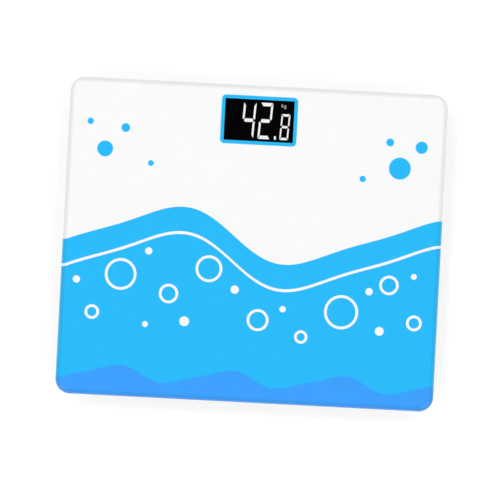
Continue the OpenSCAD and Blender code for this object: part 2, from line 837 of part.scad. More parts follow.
module load_cell(f) {
    half = cell_w / 2;
    c = cell_chamfer;
    tongue = tongue_w / 2;
    slot = tongue + tongue_slot;
    color(steel) at_foot(f) translate([0, 0, cell_z]) difference() {
        linear_extrude(cell_t) polygon([
            [half - c, half], [c - half, half], [-half, half - c], [-half, c - half],
            [c - half, -half], [half - c, -half], [half, c - half], [half, half - c]
        ]);
        translate([0, 0, -over]) linear_extrude(cell_t + 2 * over) polygon([
            [half - end_bar, tongue], [tongue_slot + end_bar - half, tongue],
            [tongue_slot + end_bar - half, -tongue], [half - end_bar, -tongue],
            [half - end_bar, -slot], [end_bar - half, -slot], [end_bar - half, slot],
            [half - end_bar, slot]
        ]);
        for (s = [-1, 1]) translate([s * rest_y, s * rest_x, -over])
            cylinder(r = peg_r + fit, h = cell_t + 2 * over);
    }
}

module strain_gauge(f) {
    color([0.9, 0.9, 0.88]) at_foot(f)
        translate([cell_w / 2 - end_bar - gauge_size[0], -gauge_size[1] / 2, cell_top_z])
            cube([gauge_size[0], gauge_size[1], sealant_h]);
}

// Leads

// Lanes of the front and the back leads, side by side along the inside of the long ribs
lane_play = 0.5;
back_lane_x = rib_x - rib_t / 2 - lane_play - lead_half;
front_lane_x = back_lane_x - 2 * lead_half - lane_play;
// Where the leads end, from the board's front edge and inside its side edge
power_lead_y = 9;
front_lead_y = 18;
back_lead_y = 27;
lead_inset = 4.5;
// How far beside the board a load cell's lead and the power leads climb
cell_lead_reach = 5;
power_lead_reach = 2.6;
run_z = floor_z + core_r + lead_clear;
board_lead_z = board_top_z + core_r + lead_clear;

// Start of a load cell's lead, in the foot's own frame
lead_start = [
    [cell_w / 2 - end_bar + 0.1, 0, lead_z], [pocket_r - 3, 0, lead_z],
    [pocket_r + pocket_wall + 0.6, 0, lead_z - 0.2], [seat_r - 3, 0, ledge_top + 3.6],
    [seat_r + 0.6, 0, ledge_top + 1.4]
];
function from_foot(f) = [
    for (p = lead_start) [f[0] * (foot_x - p[0]), f[1] * foot_y, p[2]]
];
// Turn of a lead from the opening in the long rib at y into its lane at x
function into_lane(side, x, y, turn) = [
    [side * (rib_x - 0.4), y + 0.1, run_z + 1.1],
    [side * (x + 0.12 * turn), y + 0.32 * turn, run_z + 0.4],
    [side * x, y + 1.2 * turn, run_z + 0.1]
];
// End of a lead: it climbs beside the board and turns onto its upper side
function onto_board(side, y, reach) =
    let (edge = display_x + side * board_w / 2, end_y = board_front + y) [
        [edge + side * reach, end_y - 4, board_z - 1.5],
        [edge + side * (reach + 1) / 2, end_y - 0.6, board_top_z + 0.2],
        [edge - side * 0.5, end_y, board_lead_z + 0.1],
        [edge - side * lead_inset, end_y, board_lead_z]
    ];
// Halfway from a lane to the board's edge
function to_board(side, lane, y) =
    [(side * lane + display_x + side * (board_w / 2 + cell_lead_reach)) / 2, board_front + y, run_z + 1];
function back_lead(side) = concat(
    into_lane(side, back_lane_x, foot_y, 3.4),
    [to_board(side, back_lane_x, back_lead_y - 9)]
);
function front_lead(side) = concat(
    into_lane(side, front_lane_x, -foot_y, 5),
    [for (y = [13 - foot_y, rib_front_y, rib_back_y, board_front - 8])
        [side * front_lane_x, y, run_z]],
    [to_board(side, front_lane_x, front_lead_y - 9)]
);
function lead_path(f) = concat(
    from_foot(f),
    f[1] > 0 ? back_lead(f[0]) : front_lead(f[0]),
    onto_board(f[0], f[1] > 0 ? back_lead_y : front_lead_y, cell_lead_reach)
);

module cell_cable(f) {
    path = smooth(lead_path(f), 2);
    color([0.85, 0.85, 0.85]) for (k = [-1 : 1]) wire(path, core_r, k * core_pitch);
}

module battery_leads() {
    for (s = [-1, 1]) {
        tail = [tail_end, bay_y + s * battery_y, tail_z + contact_t / 2 + core_r + 0.02];
        apart = s * (core_r + 0.35);
        path = smooth(concat([
            tail - [1, 0, 0],
            tail + [2.5, 0, 0],
            [bay_l / 2 + 10 - 2 * apart, bay_y + 14 + apart, run_z + 2.5],
            [display_x + board_w / 2 + 2 - apart, board_front - 7, run_z + 1]
        ], [for (p = onto_board(1, power_lead_y, power_lead_reach)) p - [apart, apart, 0]]), 2);
        color(s > 0 ? [0.8, 0.1, 0.1] : [0.1, 0.1, 0.1]) wire(path, core_r, 0);
    }
}

// Display and board

module lcd_front_glass() {
    color([0.05, 0.05, 0.06])
        span([display_x - lcd_w / 2, lcd_front, lcd_z], [display_x + lcd_w / 2, lcd_back, rim_z]);
}

module lcd_rear_glass() {
    color([0.08, 0.08, 0.1])
        span([display_x - lcd_w / 2, lcd_front + ledge_d, lcd_z - lcd_t],
            [display_x + lcd_w / 2, lcd_back, lcd_z]);
}

module backlight_panel() {
    color([0.92, 0.95, 1])
        span([display_x - lcd_w / 2 + slip, lcd_front + ledge_d + slip, backlight_z],
            [display_x + lcd_w / 2 - slip, lcd_back - slip, backlight_z + backlight_t]);
}

// Segments of a digit, named as usual: a on top, clockwise to f, and g in the middle
function segment(name, w, h, sw, sh) =
    let (g = segment_gap, u = upright_gap, m = h / 2)
    name == "a" ? [[g, h], [w - g, h], [w - sw - g, h - sh], [sw + g, h - sh]] :
    name == "d" ? [[g, 0], [w - g, 0], [w - sw - g, sh], [sw + g, sh]] :
    name == "g" ? [[sw / 2 + g, m], [sw + g, m + sh / 2], [w - sw - g, m + sh / 2],
                   [w - sw / 2 - g, m], [w - sw - g, m - sh / 2], [sw + g, m - sh / 2]] :
    name == "f" ? [[0, h - g], [sw, h - sh - g], [sw, m + sh / 2 + g], [sw / 2, m + u], [0, m + u]] :
    name == "e" ? [[0, g], [sw, sh + g], [sw, m - sh / 2 - g], [sw / 2, m - u], [0, m - u]] :
    name == "b" ? [for (p = segment("f", w, h, sw, sh)) [w - p[0], p[1]]] :
    [for (p = segment("e", w, h, sw, sh)) [w - p[0], p[1]]];

module digit(lit, w, h, sw, sh) {
    for (name = lit) linear_extrude(lit_t)
        polygon([for (p = segment(name, w, h, sw, sh)) [p[0] + p[1] * tan(digit_lean), p[1]]]);
}

module lcd_segments() {
    point_x = digit_pitch + digit_w + point_gap;
    color([1, 1, 1])
        translate([display_x - window_w / 2 + digit_left, window_front + digit_front, rim_z]) {
            digit("bcfg", digit_w, digit_h, stroke_w, stroke_h);
            translate([digit_pitch, 0, 0]) digit("abdeg", digit_w, digit_h, stroke_w, stroke_h);
            translate([point_x, 0, 0]) cube([point_w, stroke_h, lit_t]);
            translate([point_x + point_w + point_after, 0, 0])
                digit("abcdefg", small_digit_w, small_digit_h, small_stroke_w, small_stroke_h);
        }
}

module lcd_holder() {
    half = lcd_w / 2 + slip;
    shelf = lcd_front + ledge_d - slip;
    color([0.9, 0.9, 0.9]) difference() {
        union() {
            span([display_x - holder_w / 2, holder_front, board_top_z],
                [display_x + holder_w / 2, holder_back, rim_z]);
            at_board_screws() translate([0, 0, board_top_z]) cylinder(r = board_post_r, h = ear_t);
            for (y = [board_front + board_screw_inset, board_back - board_screw_inset])
                span([display_x - board_screw_x, y - board_post_r + 0.2, board_top_z],
                    [display_x + board_screw_x, y + board_post_r - 0.2, board_top_z + ear_t]);
        }
        span([display_x - half, lcd_front - slip, lcd_z],
            [display_x + half, lcd_back + slip, rim_z + over]);
        span([display_x - half, shelf, backlight_z], [display_x + half, lcd_back + slip, rim_z]);
        span([display_x - zebra_l / 2 - slip / 2, zebra_front - slip / 2, board_top_z - over],
            [display_x + zebra_l / 2 + slip / 2, zebra_front + zebra_w + slip / 2, rim_z]);
        at_board_screws() translate([0, 0, board_top_z - over])
            cylinder(r = screw_hole_r + 0.1, h = ear_t + 2 * over);
    }
}

module zebra_strip() {
    color([0.95, 0.6, 0.7])
        span([display_x - zebra_l / 2, zebra_front, board_top_z],
            [display_x + zebra_l / 2, zebra_front + zebra_w, lcd_z]);
}

module window_gasket() {
    gap = 0.75;
    w = window_w + 2 * gap;
    d = window_d + 2 * gap;
    color(dark_grey) translate([display_x, display_y, 0]) difference() {
        span([-w / 2 - gasket_w, -d / 2 - gasket_w, rim_z], [w / 2 + gasket_w, d / 2 + gasket_w, ink_z]);
        span([-w / 2, -d / 2, rim_z - over], [w / 2, d / 2, ink_z + over]);
    }
}

module main_board() {
    color(board_green) difference() {
        span([display_x - board_w / 2, board_front, board_z],
            [display_x + board_w / 2, board_back, board_top_z]);
        at_board_screws() translate([0, 0, board_z - over])
            cylinder(r = screw_hole_r + 0.1, h = board_t + 2 * over);
    }
}

// The resin drop under the board: a cap of a ball whose poles lie level, off the cap
module chip_blob() {
    ball_r = 8;
    rise = 1.3;
    place = [-12, -2];
    color([0.05, 0.05, 0.05])
        translate([display_x + place[0], display_y + place[1], board_z]) intersection() {
            translate([0, 0, ball_r - rise]) rotate([90, 0, 0]) sphere(ball_r);
            translate([0, 0, -rise - over]) cylinder(r = ball_r, h = rise + over);
        }
}

module board_screws() {
    color(steel) at_board_screws() translate([0, 0, board_top_z + ear_t]) mirror([0, 0, 1]) screw();
}

module tact_switch() {
    color(dark_grey) difference() {
        translate([button_x - switch_w / 2, button_y - switch_w / 2, switch_z])
            cube([switch_w, switch_w, switch_h]);
        translate([button_x, button_y, switch_z - over])
            cylinder(r = plunger_r + 0.1, h = plunger_grip + button_travel + 0.3 + over);
    }
}

module switch_plunger() {
    color([0.1, 0.1, 0.1]) translate([button_x, button_y, button_top_z])
        cylinder(r = plunger_r, h = plunger_z - button_top_z);
}

module unit_button() {
    color([0.75, 0.77, 0.8]) translate([button_x, button_y, 0]) rotate_extrude() polygon([
        [0, button_z], [button_r - 0.5, button_z], [button_r, button_z + 0.5],
        [button_r, button_flange_z], [button_r + button_flange, button_flange_z],
        [button_r + button_flange, button_top_z], [0, button_top_z]
    ]);
}

// Batteries

// A cell along X whose nub points to +X, seated against its contact
module battery_cell() {
    color([0.2, 0.2, 0.22]) rotate([0, 90, 0]) rotate_extrude() polygon([
        [0, -battery_l], [battery_d / 2 - 0.4, -battery_l], [battery_d / 2, 0.4 - battery_l],
        [battery_d / 2, -nub_l - 0.4], [battery_d / 2 - 0.4, -nub_l], [nub_r, -nub_l], [nub_r, 0], [0, 0]
    ]);
}

// The place of cell a, whose nub points right; cell b is the same, turned half round
module at_cell(turn) {
    translate([0, bay_y, battery_z]) rotate(turn) translate([contact_x - dimple_l, battery_y, 0])
        children();
}

module battery_cell_a() {
    at_cell(0) battery_cell();
}

module battery_cell_b() {
    at_cell(180) battery_cell();
}

module contact_plate(y, dimple) {
    translate([contact_x, y, battery_z]) {
        translate([0, -contact_w / 2, -contact_h / 2 + 0.4]) cube([contact_t, contact_w, contact_h]);
        if (dimple) translate([-dimple_l, 0, 0]) rotate([0, 90, 0])
            cylinder(r = nub_r + 0.4, h = dimple_l + contact_t / 2);
    }
}

module contact_tail(y) {
    span([contact_x + contact_t / 2, y - tail_w / 2, tail_z - contact_t / 2],
        [tail_end, y + tail_w / 2, tail_z + contact_t / 2]);
}

module contact_positive() {
    color(steel) translate([0, bay_y, 0]) {
        contact_plate(battery_y, true);
        contact_tail(battery_y);
    }
}

module contact_negative() {
    color(steel) translate([0, bay_y, 0]) {
        contact_plate(-battery_y, false);
        contact_tail(-battery_y);
    }
}

module contact_bridge() {
    color(steel) translate([0, bay_y, 0]) rotate(180) {
        contact_plate(battery_y, true);
        contact_plate(-battery_y, false);
        translate([contact_x, -battery_y, battery_z - 1]) cube([contact_t, 2 * battery_y, 3]);
    }
}

// A coil between a plate and a cell's flat end, along X
module contact_spring() {
    sides = 6;
    steps = 12 * spring_turns;
    length = contact_x + spring_x - 2 * spring_wire_r - 0.04;
    points = [
        for (i = [0 : steps])
            let (a = 30 * i, rise = min(max((a - 180) / (360 * spring_turns - 360), 0), 1),
                c = [0, cos(a), sin(a)])
                for (k = [0 : sides - 1])
                    [rise * length, 0, 0] + c * (spring_r + spring_wire_r * cos(60 * k))
                        - [spring_wire_r * sin(60 * k), 0, 0]
    ];
    translate([-contact_x + spring_wire_r + 0.02, 0, 0]) tube(points, steps + 1, sides);
}

module contact_springs() {
    color(steel) for (turn = [0, 180]) translate([0, bay_y, battery_z]) rotate(turn)
        translate([0, battery_y, 0]) contact_spring();
}

module battery_door() {
    latch_w = 12;
    latch_l = 9;
    slit = 0.8;
    grip_end = 7;
    grip_pitch = 1.6;
    grip_sink = 0.5;
    color(shell_white) translate([0, bay_y, 0]) {
        difference() {
            union() {
                span([hinge_x, -door_w / 2, base_z], [door_l / 2, door_w / 2, door_top_z]);
                translate([hinge_x, door_w / 2, hinge_z]) rotate([90, 0, 0])
                    cylinder(r = barrel_r, h = door_w);
                translate([hinge_x, door_w / 2 + pin_l, hinge_z]) rotate([90, 0, 0])
                    cylinder(r = pin_r, h = door_w + 2 * pin_l);
                span([door_l / 2 - over, -latch_w / 2, base_z + 0.6],
                    [door_l / 2 + scoop_l / 2, latch_w / 2, door_top_z]);
                for (x = [-12, 12]) translate([x, 0, door_top_z])
                    span([-0.8, 1 - bay_w / 2, -0.5], [0.8, bay_w / 2 - 1, 0.4]);
            }
            for (y = [-latch_w / 2 - slit, latch_w / 2])
                span([door_l / 2 - latch_l, y, base_z - over],
                    [door_l / 2 + over, y + slit, door_top_z + over]);
            for (k = [0 : 3]) translate([door_l / 2 - grip_end + grip_pitch * k, 0, 0])
                span([0, 1 - latch_w / 2, base_z - over],
                    [grip_pitch / 2, latch_w / 2 - 1, base_z + grip_sink]);
        }
    }
}

glass_platform();
print_backing();
print_sky_wave();
print_deep_wave();
print_white_motifs();
print_display_border();
glass_adhesive();
base_shell();
foot_pad(FL);  // foot_pad_fl
foot_pad(FR);  // foot_pad_fr
foot_pad(BL);  // foot_pad_bl
foot_pad(BR);  // foot_pad_br
foot_cap(FL);  // foot_cap_fl
foot_cap(FR);  // foot_cap_fr
foot_cap(BL);  // foot_cap_bl
foot_cap(BR);  // foot_cap_br
foot_retainer(FL);  // foot_retainer_fl
foot_retainer(FR);  // foot_retainer_fr
foot_retainer(BL);  // foot_retainer_bl
foot_retainer(BR);  // foot_retainer_br
load_cell(FL);  // load_cell_fl
load_cell(FR);  // load_cell_fr
load_cell(BL);  // load_cell_bl
load_cell(BR);  // load_cell_br
strain_gauge(FL);  // strain_gauge_fl
strain_gauge(FR);  // strain_gauge_fr
strain_gauge(BL);  // strain_gauge_bl
strain_gauge(BR);  // strain_gauge_br
cell_cable(FL);  // cell_cable_fl
cell_cable(FR);  // cell_cable_fr
cell_cable(BL);  // cell_cable_bl
cell_cable(BR);  // cell_cable_br
retainer_screws();
lcd_front_glass();
lcd_rear_glass();
lcd_segments();
backlight_panel();
lcd_holder();
zebra_strip();
window_gasket();
main_board();
chip_blob();
board_screws();
tact_switch();
switch_plunger();
unit_button();
battery_cell_a();
battery_cell_b();
contact_positive();
contact_negative();
contact_bridge();
contact_springs();
battery_leads();
battery_door();
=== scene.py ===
"""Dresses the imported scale: a refracting glass plate over the print, plastics, rubber and metals.

Metres throughout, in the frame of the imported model: X to the right, Y towards the display, Z up.
"""

import json
import math

import bmesh
import bpy
from mathutils import Matrix, Vector


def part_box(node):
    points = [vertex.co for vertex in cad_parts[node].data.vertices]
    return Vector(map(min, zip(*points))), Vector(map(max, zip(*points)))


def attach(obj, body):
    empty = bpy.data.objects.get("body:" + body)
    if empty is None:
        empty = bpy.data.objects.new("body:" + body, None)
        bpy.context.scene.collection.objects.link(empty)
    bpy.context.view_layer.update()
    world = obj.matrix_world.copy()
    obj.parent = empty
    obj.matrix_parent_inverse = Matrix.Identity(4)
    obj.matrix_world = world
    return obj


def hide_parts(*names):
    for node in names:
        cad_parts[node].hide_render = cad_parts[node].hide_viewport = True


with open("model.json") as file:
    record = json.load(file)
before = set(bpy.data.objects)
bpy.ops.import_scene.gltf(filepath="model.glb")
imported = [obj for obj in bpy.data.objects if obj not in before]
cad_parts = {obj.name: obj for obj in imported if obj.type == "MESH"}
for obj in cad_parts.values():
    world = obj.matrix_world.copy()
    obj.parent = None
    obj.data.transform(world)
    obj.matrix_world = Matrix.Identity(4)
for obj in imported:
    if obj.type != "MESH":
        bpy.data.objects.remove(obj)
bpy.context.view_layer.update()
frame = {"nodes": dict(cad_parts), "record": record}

MM = 0.001
nodes = frame["nodes"]
scene = bpy.context.scene

# Camera: straight down from far above, turned so that the plate lies as in the photograph

PHOTO_SIDE = 500
PLATE_PX = 378.9
PLATE_MIDDLE_PX = (251.77, 244.04)
TURN = math.radians(2.975)
CAMERA_H = 3.0
CAMERA_REACH = 50
SENSOR = 36.0

glass_lo, glass_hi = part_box("glass_platform")
plate_w = glass_hi[0] - glass_lo[0]
plate_d = glass_hi[1] - glass_lo[1]
top_z = glass_hi[2]
metres_per_px = plate_w / PLATE_PX

camera_data = bpy.data.cameras.new("camera")
camera = bpy.data.objects.new("camera", camera_data)
scene.collection.objects.link(camera)
camera_data.sensor_width = SENSOR
camera_data.lens = SENSOR * CAMERA_H / (PHOTO_SIDE * metres_per_px)
camera_data.clip_end = CAMERA_REACH
aim = Vector((
    PHOTO_SIDE / 2 - PLATE_MIDDLE_PX[0],
    PLATE_MIDDLE_PX[1] - PHOTO_SIDE / 2,
)) * metres_per_px
aim.rotate(Matrix.Rotation(TURN, 2))
camera.location = (aim[0], aim[1], top_z + CAMERA_H)
camera.rotation_euler = (0, 0, TURN)
scene.camera = camera
scene.view_settings.view_transform = "Standard"


# Node helpers

# The values that a noise mostly has
NOISE_LOW = 0.3
NOISE_HIGH = 0.7
# The colour sockets of a Mix node
MIX_A = 6
MIX_B = 7
MIX_OUT = 2


class Tree:
    """The node tree of a material or of the world, with short calls for the nodes used here."""

    def __init__(self, owner, output, coords):
        self.owner = owner
        self.owner.use_nodes = True
        self.nt = self.owner.node_tree
        self.nt.nodes.clear()
        self.out = self.add(output)
        self.coords = self.add("ShaderNodeTexCoord").outputs[coords]

    def add(self, kind, **settings):
        node = self.nt.nodes.new(kind)
        for key, value in settings.items():
            setattr(node, key, value)
        return node

    def put(self, socket, value):
        if isinstance(value, bpy.types.NodeSocket):
            self.nt.links.new(value, socket)
        else:
            socket.default_value = value

    def parts(self, vector):
        """The three numbers of a vector."""
        node = self.add("ShaderNodeSeparateXYZ")
        self.put(node.inputs[0], vector)
        return node.outputs

    def math(self, operation, a, b=0.0):
        node = self.add("ShaderNodeMath", operation=operation)
        self.put(node.inputs[0], a)
        self.put(node.inputs[1], b)
        return node.outputs[0]

    def span(self, value, low, high, to_low=0.0, to_high=1.0, smooth=False):
        """The range from low to high mapped to another one, and held at its ends."""
        node = self.add("ShaderNodeMapRange")
        if smooth:
            node.interpolation_type = "SMOOTHSTEP"
        names = ("Value", "From Min", "From Max", "To Min", "To Max")
        for name, v in zip(names, (value, low, high, to_low, to_high)):
            self.put(node.inputs[name], v)
        return node.outputs["Result"]

    def spread(self, noise, to_low=0.0, to_high=1.0):
        """A noise, from its usual low value to its usual high one, mapped to a range."""
        return self.span(noise, NOISE_LOW, NOISE_HIGH, to_low, to_high)

    def noise(self, size, detail=2.0, rough=0.5, stretch=None):
        """Noise whose features are about size metres, stretched along the axes if asked."""
        source = self.coords
        if stretch:
            node = self.add("ShaderNodeMapping")
            self.put(node.inputs["Vector"], source)
            node.inputs["Scale"].default_value = stretch
            source = node.outputs[0]
        node = self.add("ShaderNodeTexNoise")
        self.put(node.inputs["Vector"], source)
        node.inputs["Scale"].default_value = 1 / size
        node.inputs["Detail"].default_value = detail
        node.inputs["Roughness"].default_value = rough
        return node.outputs["Fac"]

    def pick(self, factor, a, b):
        """The number a where the factor is 0, and b where it is 1."""
        node = self.add("ShaderNodeMix")
        for name, value in (("Factor", factor), ("A", a), ("B", b)):
            self.put(node.inputs[name], value)
        return node.outputs["Result"]

    def mix(self, factor, a, b):
        """The colour a where the factor is 0, b where it is 1, and a blend between them."""
        node = self.add("ShaderNodeMix", data_type="RGBA")
        self.put(node.inputs["Factor"], factor)
        for index, value in ((MIX_A, a), (MIX_B, b)):
            linked = isinstance(value, bpy.types.NodeSocket)
            self.put(node.inputs[index], value if linked else (*value, 1))
        return node.outputs[MIX_OUT]

    def bump(self, height, distance):
        node = self.add("ShaderNodeBump")
        node.inputs["Strength"].default_value = 1.0
        node.inputs["Distance"].default_value = distance
        self.put(node.inputs["Height"], height)
        return node.outputs[0]

    def shader(self, color, roughness, normal=None, **sockets):
        """A Principled shader; other sockets are given by their names in small letters."""
        node = self.add("ShaderNodeBsdfPrincipled")
        linked = isinstance(color, bpy.types.NodeSocket)
        self.put(node.inputs["Base Color"], color if linked else (*color, 1))
        self.put(node.inputs["Roughness"], roughness)
        if normal:
            self.put(node.inputs["Normal"], normal)
        for name, value in sockets.items():
            self.put(node.inputs[name.replace("_", " ").title().replace("Ior", "IOR")], value)
        return node.outputs[0]

    def finish(self, surface):
        self.nt.links.new(surface, self.out.inputs["Surface"])
        return self.owner


def material_tree(name):
    return Tree(bpy.data.materials.new(name), "ShaderNodeOutputMaterial", "Object")


def shade(color, amount):
    """color made lighter or darker by a share."""
    return tuple(min(1.0, c * (1 + amount)) for c in color)


# Materials, one per slot of the record

PLATE_CORNER = 12 * MM
EDGE_R = 4 * MM
GLASS_IOR = 1.5
GLASS_CLEAR = (0.992, 0.996, 0.994)
# The ground edge is grey with painted shade from the outline up to GREY_FULL inside it, and clear
# from GREY_END on
GLASS_EDGE_SHADE = (0.635, 0.595, 0.585)
GREY_FULL = 1.2 * MM
GREY_END = 4.6 * MM
# Lengths of a dry cell's paler band, of its positive end and of its bare negative end
BAND_L = 14 * MM
CELL_NUB = 1.2 * MM
CELL_END = 0.3 * MM
# White dots on the light guide, per metre
DOTS = 900


def moulded(name, color, roughness=0.5, grain=0.28 * MM, depth=0.016 * MM):
    """Plastic from a spark-eroded mould: fine grain, faint flow lines and a little handling wear."""
    t = material_tree(name)
    flow = t.noise(38 * MM, 3, stretch=(1, 0.35, 1))
    fine = t.noise(grain, 3, 0.6)
    tone = t.mix(t.spread(flow), shade(color, -0.03), shade(color, 0.03))
    rub = t.span(t.noise(14 * MM, 4), 0.45, 0.75, roughness, roughness - 0.1)
    rough = t.math("ADD", rub, t.spread(fine, -0.03, 0.03))
    return t.finish(t.shader(tone, rough, t.bump(fine, depth)))


def ink(name, color):
    """A screen-printed layer: even colour with the faint mottle and mesh of the screen.

    The glass wets it, so it has no gloss of its own.
    """
    t = material_tree(name)
    mottle = t.noise(9 * MM, 3)
    mesh = t.noise(0.35 * MM, 1)
    tone = t.mix(t.span(mottle, 0.35, 0.65), shade(color, -0.012), shade(color, 0.012))
    rough = t.spread(mesh, 0.6, 0.7)
    return t.finish(t.shader(tone, rough, t.bump(mesh, 0.004 * MM), specular_ior_level=0.0))


def rubber(name, color, grain=0.5 * MM, depth=0.04 * MM, roughness=0.78):
    """Rubber with a fine grain and a little pale dust."""
    t = material_tree(name)
    fine = t.noise(grain, 4, 0.6)
    dust = t.noise(6 * MM, 5, 0.65)
    tone = t.mix(t.span(dust, 0.45, 0.75), color, shade(color, 0.35))
    rough = t.spread(fine, roughness - 0.06, roughness + 0.08)
    return t.finish(t.shader(tone, rough, t.bump(fine, depth)))


def metal(name, color, roughness=0.3, along=(1, 0.05, 1)):
    """Plated metal with the drawn lines of its sheet or wire."""
    t = material_tree(name)
    lines = t.noise(0.25 * MM, 3, 0.6, stretch=along)
    stain = t.noise(5 * MM, 3)
    tone = t.mix(t.span(stain, 0.4, 0.7), color, shade(color, -0.12))
    rough = t.spread(lines, roughness - 0.08, roughness + 0.1)
    return t.finish(t.shader(tone, rough, t.bump(lines, 0.01 * MM), metallic=1.0))


def edge_distance(t):
    """How far a point lies inside the plate's outline: 0 at the outline, less than 0 inside."""
    place = t.parts(t.coords)
    out = [
        t.math("SUBTRACT", t.math("ABSOLUTE", place[axis]), size / 2 - PLATE_CORNER)
        for axis, size in ((0, plate_w), (1, plate_d))
    ]
    beyond = [t.math("MAXIMUM", v, 0.0) for v in out]
    squared = t.math("ADD", *[t.math("MULTIPLY", v, v) for v in beyond])
    inner = t.math("MINIMUM", t.math("MAXIMUM", *out), 0.0)
    reach = t.math("ADD", t.math("SQRT", squared), inner)
    return t.math("SUBTRACT", reach, PLATE_CORNER)


def platform_glass():
    """Clear glass whose ground round edge is a little rougher than the polished faces, and greyer
    with painted shade.

    Light from lamps, and light on its way from the print, crosses it unbent, so that the print
    is lit as evenly as under real glass.
    """
    t = material_tree("platform_glass")
    ground_and_shade = t.span(edge_distance(t), -GREY_END, -GREY_FULL)
    wear = t.noise(2.2 * MM, 4)
    rough = t.math("MULTIPLY", ground_and_shade, t.spread(wear, 0.05, 0.16))
    # Painted shade: the tint turns grey over the round edge, while lamp light passes the clear
    # Transparent below
    tint = t.mix(ground_and_shade, GLASS_CLEAR, GLASS_EDGE_SHADE)
    surface = t.shader(tint, rough, transmission_weight=1.0, ior=GLASS_IOR)
    clear = t.add("ShaderNodeBsdfTransparent")
    t.put(clear.inputs["Color"], (*GLASS_CLEAR, 1))
    path = t.add("ShaderNodeLightPath")
    for ray in ("Is Diffuse Ray", "Is Shadow Ray"):
        both = t.add("ShaderNodeMixShader")
        t.put(both.inputs[0], path.outputs[ray])
        t.put(both.inputs[1], surface)
        t.put(both.inputs[2], clear.outputs[0])
        surface = both.outputs[0]
    return t.finish(surface)


def display_glass():
    """Nearly black glass with faint smudges, and little gloss where it lies behind the plate."""
    t = material_tree("display_glass")
    smudge = t.noise(11 * MM, 4)
    tone = t.mix(t.span(smudge, 0.4, 0.7), (0.0004, 0.0004, 0.0005), (0.0008, 0.0008, 0.001))
    rough = t.span(smudge, 0.4, 0.7, 0.06, 0.14)
    return t.finish(t.shader(tone, rough, specular_ior_level=0.15))


def lit_segments():
    """Light from behind each segment, a little stronger in some places than in others."""
    t = material_tree("lit_segments")
    glow = t.noise(16 * MM, 1)
    node = t.add("ShaderNodeEmission")
    node.inputs["Strength"].default_value = 1.0
    t.put(node.inputs["Color"], t.mix(t.spread(glow), (0.96, 0.97, 0.98), (1, 1, 1)))
    return t.finish(node.outputs[0])


def circuit_board():
    """Green solder mask, with copper lines showing as paler lanes under it."""
    t = material_tree("circuit_board")
    lanes = t.add("ShaderNodeTexBrick", offset=0.5)
    t.put(lanes.inputs["Vector"], t.coords)
    sizes = (("Scale", 90.0), ("Mortar Size", 0.06), ("Brick Width", 1.6), ("Row Height", 0.35))
    for name, value in sizes:
        lanes.inputs[name].default_value = value
    weave = t.noise(0.6 * MM, 2)
    mask = t.mix(lanes.outputs["Fac"], (0.012, 0.11, 0.045), (0.03, 0.22, 0.09))
    tone = t.mix(t.spread(weave, 0.0, 0.3), mask, (0.02, 0.15, 0.06))
    return t.finish(t.shader(tone, 0.3, t.bump(lanes.outputs["Fac"], 0.03 * MM)))


def cell_wrap():
    """Dry cells: shrunk film with a paler band towards the positive end, and bare steel ends.

    The two cells lie head to tail, on either side of the middle of their bay.
    """
    t = material_tree("cell_wrap")
    (low_x, low_y, _), (high_x, _, _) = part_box("battery_cell_a")
    middle = (low_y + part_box("battery_cell_b")[1][1]) / 2
    place = t.parts(t.coords)
    side = t.math("SIGN", t.math("SUBTRACT", place[1], middle))
    along = t.math("MULTIPLY", place[0], side)
    band = t.math("GREATER_THAN", along, high_x - BAND_L)
    nub = t.math("GREATER_THAN", along, high_x - CELL_NUB)
    steel = t.math("MAXIMUM", nub, t.math("LESS_THAN", along, low_x + CELL_END))
    creases = t.noise(2.4 * MM, 3, stretch=(1, 4, 4))
    tone = t.mix(band, (0.02, 0.035, 0.075), (0.42, 0.3, 0.14))
    tone = t.mix(steel, tone, (0.66, 0.66, 0.65))
    rough = t.spread(creases, 0.2, 0.34)
    return t.finish(t.shader(tone, rough, t.bump(creases, 0.02 * MM), metallic=steel))


def light_guide():
    """Clear plastic with the white dots that spread the light."""
    t = material_tree("light_guide")
    dots = t.add("ShaderNodeTexVoronoi")
    t.put(dots.inputs["Vector"], t.coords)
    dots.inputs["Scale"].default_value = DOTS
    spots = t.span(dots.outputs["Distance"], 0.2, 0.5)
    tone = t.mix(spots, (0.97, 0.98, 1), (0.86, 0.9, 0.96))
    return t.finish(t.shader(tone, 0.25, t.bump(spots, 0.01 * MM)))


def foam(name, color, cell=0.5 * MM):
    """Foam with open cells of the given size, their pits darkened with painted shade."""
    t = material_tree(name)
    cells = t.add("ShaderNodeTexVoronoi")
    t.put(cells.inputs["Vector"], t.coords)
    cells.inputs["Scale"].default_value = 1 / cell
    pits = t.span(cells.outputs["Distance"], 0.1, 0.5)
    # Painted shade: darker in the pits of the cells
    tone = t.mix(pits, shade(color, -0.25), color)
    return t.finish(t.shader(tone, 0.9, t.bump(pits, 0.06 * MM)))


